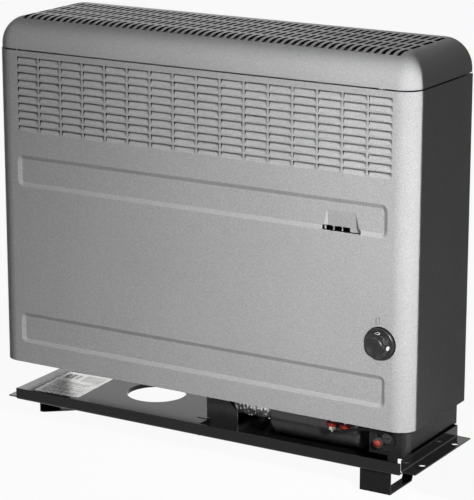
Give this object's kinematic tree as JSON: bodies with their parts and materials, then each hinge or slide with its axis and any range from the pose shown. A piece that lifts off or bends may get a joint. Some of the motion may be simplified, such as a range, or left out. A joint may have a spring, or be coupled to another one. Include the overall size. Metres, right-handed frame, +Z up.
{
  "type": "wall mounted gas heater",
  "caption": "Wall-mounted gas room heater: pressed sheet cover with louvres and viewing window, slotted curved top grille, control knob and a folded base tray on feet.",
  "frame": {"origin": "on the floor under the feet, below the middle of the bounding box", "axes": "+X along the wall to the right as seen from the front, +Y from the front of the heater towards the wall, +Z up"},
  "size_m": [0.5454, 0.1526, 0.4715],
  "materials": {
    "cover_paint": "satin silver-grey metallic paint",
    "grille_plastic": "satin silver plastic",
    "deflector_sheet": "matt aluminium sheet",
    "tray_paint": "satin black paint",
    "foot_steel": "dark grey painted steel",
    "galvanised": "galvanised sheet",
    "bracket_paint": "anthracite painted sheet",
    "module_plastic": "matt black plastic",
    "knob_plastic": "satin black plastic",
    "bezel_plastic": "satin grey plastic",
    "button_plastic": "glossy red plastic",
    "cell_wrap": "printed steel can, left plain",
    "valve_cast": "die-cast aluminium",
    "brass": "machined brass",
    "pipe_metal": "drawn pipe",
    "spindle_steel": "ground steel",
    "burner_steel": "dark heat-resisting sheet steel",
    "exchanger_steel": "aluminised sheet steel",
    "gasket_fibre": "pale mineral-fibre gasket",
    "duct_foil": "crinkled aluminium foil",
    "flue_steel": "stainless tube",
    "ceramic": "glazed ceramic",
    "lead_rubber": "black silicone",
    "cap_rubber": "red rubber"
  },
  "bodies": {
    "heater": {"front_cover": "cover_paint", "top_grille": "grille_plastic", "air_deflector": "deflector_sheet", "base_tray": "tray_paint", "foot_front_left": "foot_steel", "foot_front_right": "foot_steel", "foot_rear_left": "foot_steel", "foot_rear_right": "foot_steel", "rear_panel": "galvanised", "cover_catch_left": "galvanised", "cover_catch_right": "galvanised", "duct_shield": "bracket_paint", "control_bracket": "bracket_paint", "ignition_module": "module_plastic", "button_bezel": "bezel_plastic", "battery": "cell_wrap", "control_valve": "valve_cast", "spindle_bush": "brass", "outlet_elbow": "brass", "burner_feed_pipe": "pipe_metal", "jet_holder": "brass", "gas_inlet_pipe": "pipe_metal", "inlet_nut": "brass", "burner_drum": "burner_steel", "burner_tube": "burner_steel", "burner_hood": "burner_steel", "exchanger_front_shell": "exchanger_steel", "exchanger_rear_shell": "exchanger_steel", "exchanger_gasket": "gasket_fibre", "flex_duct": "duct_foil", "flue_elbow": "flue_steel", "flue_collar": "flue_steel", "ignition_electrode": "ceramic", "ignition_lead": "lead_rubber", "gas_rail": "pipe_metal", "test_nipple": "brass", "red_caps": "cap_rubber", "exchanger_stays": "galvanised", "tray_screws": "spindle_steel"},
    "push_rod": {"valve_plunger": "spindle_steel"},
    "control_knob": {"knob": "knob_plastic", "knob_grip": "knob_plastic", "control_spindle": "spindle_steel"},
    "spark_button": {"ignition_button": "button_plastic"},
    "battery_lid": {"battery_cap": "module_plastic"}
  },
  "joints": [
    {"name": "knob_push", "type": "slide", "parent": "heater", "child": "push_rod", "axis": [0, 1, 0], "range_m": [0, 0.004], "stiffness_N_per_m": 900, "springref_m": -0.0015},
    {"name": "knob_turn", "type": "hinge", "parent": "push_rod", "child": "control_knob", "pos_m": [0.22525, -0.05975, 0.1625], "axis": [0, 1, 0], "range_deg": [-270, 0]},
    {"name": "button_push", "type": "slide", "parent": "heater", "child": "spark_button", "axis": [0, 1, 0], "range_m": [0, 0.0025], "stiffness_N_per_m": 400, "springref_m": -0.001},
    {"name": "battery_lid_turn", "type": "hinge", "parent": "heater", "child": "battery_lid", "pos_m": [0.23205, -0.05375, 0.0557], "axis": [0, 1, 0], "range_deg": [0, 90]}
  ]
}
